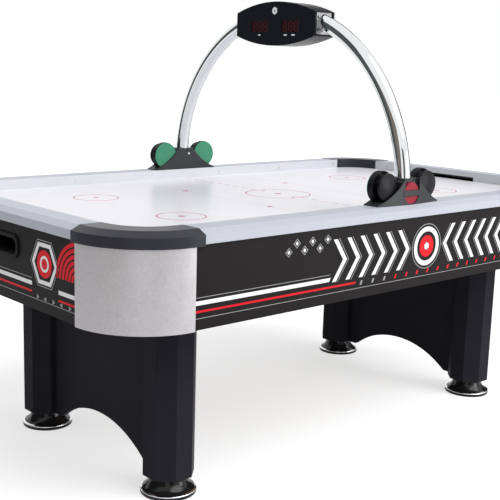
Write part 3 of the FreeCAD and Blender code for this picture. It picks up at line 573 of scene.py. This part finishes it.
def air_holes():
    """The grid of fine holes that the air comes through, drawn as flat grey discs whose colour is painted
    shade for the unlit inside of each hole.
    """
    pitch, radius = 0.0254, 0.0008
    along, across = 73, 39
    hole = disc(-(along - 1) / 2 * pitch, -(across - 1) / 2 * pitch, radius, 6)
    for count, step in ((along, (pitch, 0, 0)), (across, (0, pitch, 0))):
        array = hole.modifiers.new("Row", "ARRAY")
        array.count = count
        array.use_relative_offset = False
        array.use_constant_offset = True
        array.constant_offset_displace = step
        bpy.ops.object.modifier_apply(modifier=array.name)
    thicken(hole, LINE_THICKNESS * 0.4)
    moved(hole, Matrix.Translation((0, 0, FIELD_TOP)))
    finished(hole, "air_holes", HOLE_SHADE)


field_marks()
air_holes()


# ---------------------------------------------------------------- printed aprons

# The stripes along every apron, each with its ink, lower edge and upper edge.
BROAD_STRIPES = (("white", 0.6190, 0.6300), ("red", 0.5998, 0.6055))
LOW_PINSTRIPE = ("grey", 0.5842, 0.5858)
HIGH_PINSTRIPE = ("grey", 0.6378, 0.6394)
# The bare margin between a print and the end of its apron.
PRINT_MARGIN = 0.003


def add_chevrons(inks, start, stop):
    """Two runs of chevrons with pinstripe shadows, which point at the ringed target between them."""
    low, high = 0.6165, 0.7385
    count, pitch, stroke, depth = 6, 0.056, 0.0165, 0.042
    shadow, overhang = 0.0022, 0.002
    for step in range(count):
        near, far = start + step * pitch, stop - step * pitch
        inks["white"].append(chevron(near + 0.012, stroke, low, high, depth))
        inks["white"].append(chevron(far - 0.012 - stroke, stroke, low, high, -depth))
        inks["grey"].append(chevron(near + 0.034, shadow, low - overhang, high + overhang, depth))
        inks["grey"].append(chevron(far - 0.036, shadow, low - overhang, high + overhang, -depth))
    middle, height = (start + stop) / 2, (low + high) / 2
    frame_radius, ring_radius, disc_radius, hub_radius = 0.0705, 0.0610, 0.0340, 0.0120
    inks["grey"].append(ring(middle, height, frame_radius, shadow))
    inks["white"].append(ring(middle, height, ring_radius, 0.0150))
    inks["red"].append(ring(middle, height, disc_radius, disc_radius - hub_radius - 0.0005))
    inks["white"].append(disc(middle, height, hub_radius, 6))


def add_diamonds(inks, start):
    """A zigzag row of white diamonds in grey frames."""
    count, pitch, low, rise = 6, 0.030, 0.7200, 0.022
    for step in range(count):
        x, z = start + step * pitch, low + (step % 2) * rise
        inks["grey"].append(ring(x, z, 0.0135, 0.0020, 4))
        inks["white"].append(disc(x, z, 0.0062, 4))


def add_dashes(inks, start):
    """A row of slanted dashes, of which the first few are grey and the others red."""
    count, grey_count, pitch, width = 14, 3, 0.0515, 0.0075
    low, high, lean = 0.5935, 0.6060, 0.005
    for step in range(count):
        x = start + step * pitch
        inks["grey" if step < grey_count else "red"].append(bar(x, x + width, low, high, lean))


def side_print():
    """The print of a long apron: stripes that break off for a row of motifs."""
    inks = {"white": [], "red": [], "grey": []}
    edge, lean = APRON_END_X - PRINT_MARGIN, 0.006
    start, stop = -0.366, 0.500
    red_start, red_stop = -0.257, 0.470
    for ink_name, low, high in BROAD_STRIPES + (HIGH_PINSTRIPE,):
        first, last = (red_start, red_stop) if ink_name == "red" else (start, stop)
        inks[ink_name].append(bar(-edge, first, low, high, lean))
        inks[ink_name].append(bar(last, edge, low, high, lean))
    ink_name, low, high = LOW_PINSTRIPE
    inks[ink_name].append(bar(-edge, edge, low, high))
    add_chevrons(inks, start, stop)
    add_diamonds(inks, -0.528)
    add_dashes(inks, -0.236)
    return inks


def add_badge(inks, x, z):
    """A hexagon frame around a red disc with a white ring."""
    turn = math.pi / 6
    disc_radius, ring_radius, hub_radius = 0.0370, 0.0220, 0.0145
    inks["grey"].append(ring(x, z, 0.0720, 0.0020, 6, turn))
    inks["white"].append(ring(x, z, 0.0640, 0.0110, 6, turn))
    inks["red"].append(ring(x, z, disc_radius, disc_radius - ring_radius - 0.0005))
    inks["red"].append(disc(x, z, hub_radius))
    inks["white"].append(ring(x, z, ring_radius, ring_radius - hub_radius - 0.0005))


def add_quarter_rings(inks, x, z, side):
    """Red quarter rings around a point at the edge of the print."""
    count, first_radius, pitch, width = 6, 0.0290, 0.0150, 0.0100
    for step in range(count):
        arc = ring(x, z, first_radius + step * pitch, width, 96)
        arc = keep_half(arc, (x, z, 0), (-side, 0, 0))
        inks["red"].append(keep_half(arc, (x, z, 0), (0, 1, 0)))


def add_triangles(inks, side):
    """A row of small grey triangles that point left and right by turns."""
    count, first, pitch, height, radius = 5, 0.200, 0.040, 0.5928, 0.0078
    for step in range(count):
        turn = math.pi / 2 if step % 2 else -math.pi / 2
        inks["grey"].append(disc(side * (first + step * pitch), height, radius, 3, turn))


def end_print():
    """The print of an end apron: stripes, and a badge, quarter rings and triangles at each side."""
    inks = {"white": [], "red": [], "grey": []}
    edge = APRON_END_Y - PRINT_MARGIN
    inner, outer = 0.170, 0.306
    for ink_name, low, high in BROAD_STRIPES + (HIGH_PINSTRIPE,):
        inks[ink_name].append(bar(-inner, inner, low, high))
    ink_name, low, high = LOW_PINSTRIPE
    inks[ink_name].append(bar(-edge, edge, low, high))
    for side in (-1, 1):
        for ink_name, low, high in BROAD_STRIPES:
            first, last = sorted((side * outer, side * edge))
            inks[ink_name].append(bar(first, last, low, high))
        add_badge(inks, side * 0.236, 0.686)
        add_quarter_rings(inks, side * edge, 0.6625, side)
        add_triangles(inks, side)
    return inks


def lay_print(inks, stem, distance, turns):
    """Set a print on the aprons that face each of the given directions."""
    for ink_name, items in inks.items():
        stand_plates(items, PRINT_THICKNESS, distance, turns, stem + "_" + ink_name, INKS[ink_name])


lay_print(side_print(), "side_print", APRON_FACE_Y, (("near", 0), ("far", 180)))
lay_print(end_print(), "end_print", APRON_FACE_X, (("left", -90), ("right", 90)))


# ---------------------------------------------------------------- scorer

def segment(x, y, length, width, upright):
    """One bar of a seven segment digit, with pointed ends."""
    item = disc(0, 0, width / 2 / math.cos(math.pi / 6), 6)
    reach = length / 2 - width / 2
    push(item, lambda spot: spot.x > 1e-6, (reach, 0, 0))
    push(item, lambda spot: spot.x < -1e-6, (-reach, 0, 0))
    turn = Matrix.Rotation(math.radians(90 if upright else 0), 4, "Z")
    return moved(item, Matrix.Translation((x, y, 0)) @ turn)


def digit(x, y, width, height, stroke):
    """All seven segments of an unlit digit."""
    half, quarter = width / 2, height / 4
    short, tall = width - stroke / 2, height / 2 - stroke / 2
    parts = [segment(x, y + shift, short, stroke, False) for shift in (-height / 2, 0, height / 2)]
    for side in (-half, half):
        for shift in (-quarter, quarter):
            parts.append(segment(x + side, y + shift, tall, stroke, True))
    return parts


def window_digits():
    """Three unlit digits for each of the two windows on a face."""
    low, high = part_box("score_windows")
    window, pitch = 0.075, 0.0265
    digits = []
    for side in (-1, 1):
        for step in (-1, 0, 1):
            digits += digit(side * window + step * pitch, (low.z + high.z) / 2, 0.0165, 0.031, 0.0042)
    return digits


def face_marks():
    """Small marks under the windows and a hexagon over them."""
    middle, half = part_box("score_windows")[0].z - 0.006, 0.0022
    marks = [bar(left, left + width, middle - half, middle + half)
             for left, width in ((-0.0785, 0.011), (0.0475, 0.014), (0.0835, 0.016))]
    marks.append(ring(0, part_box("scorer_shell")[1].z - 0.0300, 0.0130, 0.0085, 6))
    return marks


def plate_screws():
    """A screw near each corner of an end plate."""
    low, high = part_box("scorer_end_plates")
    inset, radius = 0.0155, 0.0038
    return [disc(side * (high.x - inset), z, radius, 20)
            for side in (-1, 1) for z in (low.z + inset, high.z - inset)]


def scorer_details():
    """Digits and marks on both faces, and screws on both ends."""
    digits, marks, screws = window_digits(), face_marks(), plate_screws()
    faces, ends = (("one", -90), ("two", 90)), (("one", 0), ("two", 180))
    stand_plates(digits, PRINT_THICKNESS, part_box("score_windows")[1].x, faces, "score_digits", SEGMENT_RED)
    stand_plates(marks, PRINT_THICKNESS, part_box("scorer_face_right")[1].x, faces, "scorer_marks",
                 INKS["white"])
    stand_plates(screws, SCREW_HEAD_HEIGHT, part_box("scorer_end_plates")[1].y, ends, "plate_screws",
                 SCREW_BLACK)


scorer_details()


# ---------------------------------------------------------------- felt pads

def soften_felt(pad, centre, radius):
    """Draw the rim in and make the faces slightly uneven."""
    for point in pad.data.vertices:
        spot = point.co
        if math.hypot(spot.x - centre.x, spot.z - centre.z) > radius - 0.0003:
            sink = 0.35
        else:
            sink = 0.10 * (1 + math.sin(spot.x * 190 + 1.3) * math.cos(spot.z * 170))
        spot.y += (centre.y - spot.y) * sink


def felt_pads():
    """Each felt is a pressed disc with a soft rounded rim and a slightly uneven face."""
    rim_width, ring_count, ring_share = 0.0006, 7, 0.13
    for corner in CORNERS:
        low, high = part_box("mallet_felt_" + corner)
        centre = (low + high) / 2
        radius, thickness = (high.x - low.x) / 2, high.y - low.y
        clear_selection()
        bpy.ops.mesh.primitive_cylinder_add(vertices=72, radius=radius, depth=thickness, location=centre,
                                            rotation=(math.radians(90), 0, 0), end_fill_type="NGON")
        pad = set_flat(bpy.context.object)
        bpy.ops.object.mode_set(mode="EDIT")
        bpy.ops.mesh.select_all(action="DESELECT")
        end_edit()
        for face in pad.data.polygons:
            face.select = abs(face.normal.y) > 0.9
        bpy.ops.object.mode_set(mode="EDIT")
        bpy.ops.mesh.select_mode(type="FACE")
        bpy.ops.mesh.inset(thickness=rim_width)
        for step in range(ring_count):
            bpy.ops.mesh.inset(thickness=radius * ring_share)
        end_edit()
        soften_felt(pad, centre, radius)
        bpy.ops.object.shade_smooth_by_angle(angle=math.radians(50))
        finished(pad, "felt_pad_" + corner, FINISHES["felt_green"], "mallet_body_" + corner)
        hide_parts("mallet_felt_" + corner)


felt_pads()


# ---------------------------------------------------------------- bracket screws

def bracket_screws():
    """The plated head on each bracket's inner face that clamps the arch in its socket."""
    inner_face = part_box("arch_bracket_far")[0].y
    offset, rise, radius = 0.013, 0.059, 0.0040
    head = disc(offset, RAIL_TOP + rise, radius, 24)
    stand_plates([head], SCREW_HEAD_HEIGHT, -inner_face, (("far", 0), ("near", 180)), "bracket_screw",
                 FINISHES["screw_steel"])


bracket_screws()


# ---------------------------------------------------------------- floor, light and camera

def sight(tree, camera_share, mirror_share):
    """A share for rays from the camera, another for mirrors and glass, and nought for the rest."""
    path = add_node(tree, "ShaderNodeLightPath")
    mirrored = calculate(tree, "MAXIMUM", path.outputs["Is Glossy Ray"], path.outputs["Is Transmission Ray"])
    direct = calculate(tree, "MULTIPLY", path.outputs["Is Camera Ray"], camera_share)
    return calculate(tree, "ADD", direct, calculate(tree, "MULTIPLY", mirrored, mirror_share))


def studio_floor():
    """A plain pale floor that reads white and keeps the table's shadow."""
    clear_selection()
    bpy.ops.mesh.primitive_plane_add(size=80, location=(0, 0, 0))
    floor = bpy.context.object
    floor.name = "floor"
    material, shader = bare_material("Studio floor", Roughness=0.9, Specular_IOR_Level=0.0)
    shader.inputs["Base Color"].default_value = (0.70, 0.70, 0.71, 1)
    shader.inputs["Emission Color"].default_value = (1, 1, 1, 1)
    tree = material.node_tree
    tree.links.new(sight(tree, 0.60, 0.34), shader.inputs["Emission Strength"])
    floor.data.materials.append(material)


def studio_world(level):
    """An even world of a given level, which is white to sight."""
    world = bpy.data.worlds.new("Studio")
    bpy.context.scene.world = world
    world.use_nodes = True
    tree = world.node_tree
    background = tree.nodes["Background"]
    background.inputs["Color"].default_value = (1, 1, 1, 1)
    strength = calculate(tree, "ADD", sight(tree, 1.0 - level, 1.0 - level), level)
    tree.links.new(strength, background.inputs["Strength"])


def hang_lamp(name, lamp, spot, aim):
    """Hang a lamp at one place so that it shines at another."""
    item = bpy.data.objects.new(name, lamp)
    bpy.context.scene.collection.objects.link(item)
    item.location = spot
    item.rotation_euler = (Vector(aim) - Vector(spot)).to_track_quat("-Z", "Y").to_euler()


def sun_lamp(name, direction, strength, spread):
    """A soft distant lamp that shines from a direction."""
    lamp = bpy.data.lights.new(name, "SUN")
    lamp.energy = strength * math.pi
    lamp.angle = math.radians(spread)
    hang_lamp(name, lamp, Vector(direction).normalized() * 6, (0, 0, 0))


def area_lamp(name, spot, aim, size, power):
    """A square soft box that shines from one place to another."""
    lamp = bpy.data.lights.new(name, "AREA")
    lamp.energy = power
    lamp.size = size
    hang_lamp(name, lamp, spot, aim)


def card(name, bearing, distance, width, height, base, shade):
    """A card at the edge of the studio, which only shows in shiny surfaces."""
    clear_selection()
    angle = math.radians(bearing)
    spot = (distance * math.sin(angle), distance * math.cos(angle), base + height / 2)
    bpy.ops.mesh.primitive_plane_add(size=1, location=spot, rotation=(math.radians(90), 0, -angle))
    sheet = bpy.context.object
    sheet.scale = (width, height, 1)
    set_flat(sheet)
    sheet.name = name
    material, shader = bare_material(name, Roughness=1.0, Specular_IOR_Level=0.0)
    shader.inputs["Base Color"].default_value = rgba(shade)
    sheet.data.materials.append(material)
    sheet.visible_camera = False
    sheet.visible_diffuse = False
    sheet.visible_shadow = False


def studio_camera(place, azimuth, elevation, roll, lens):
    """A camera that looks towards an azimuth from +Y, down by an elevation, and rolled."""
    azimuth, elevation, roll = (math.radians(angle) for angle in (azimuth, elevation, roll))
    ahead = Vector((math.sin(azimuth) * math.cos(elevation), math.cos(azimuth) * math.cos(elevation),
                    -math.sin(elevation)))
    across = Vector((math.cos(azimuth), -math.sin(azimuth), 0))
    above = across.cross(ahead)
    right = across * math.cos(roll) + above * math.sin(roll)
    up = above * math.cos(roll) - across * math.sin(roll)
    data = bpy.data.cameras.new("camera")
    data.sensor_width = 36.0
    data.lens = lens
    camera = bpy.data.objects.new("camera", data)
    bpy.context.scene.collection.objects.link(camera)
    camera.matrix_world = Matrix.Translation(place) @ Matrix((right, up, -ahead)).transposed().to_4x4()
    bpy.context.scene.camera = camera


def studio():
    """Floor, world, lamps, cards and camera."""
    studio_floor()
    studio_world(0.47)
    sun_lamp("key_lamp", (0.22, -0.62, 0.75), 0.58, 50)
    area_lamp("side_lamp", (1.6, -3.0, 1.0), (-0.2, -0.5, 0.7), 1.3, 25)
    card("far_right_card", 84, 5.0, 3.4, 3.0, 0.02, (0.06, 0.06, 0.06))
    card("front_card", 202, 7.0, 2.8, 3.0, 0.02, (0.16, 0.18, 0.16))
    card("tan_card", 261, 5.0, 4.4, 3.0, 0.02, (0.32, 0.28, 0.24))
    card("left_card", 309, 5.0, 4.6, 5.0, 0.02, (0.09, 0.10, 0.10))
    card("high_card", 50, 6.0, 4.6, 3.2, 3.3, (0.12, 0.12, 0.13))
    studio_camera((-2.3107, -2.4153, 1.2104), 42.16, 10.83, 1.73, 69.53)
    bpy.context.scene.view_settings.view_transform = "Standard"


studio()
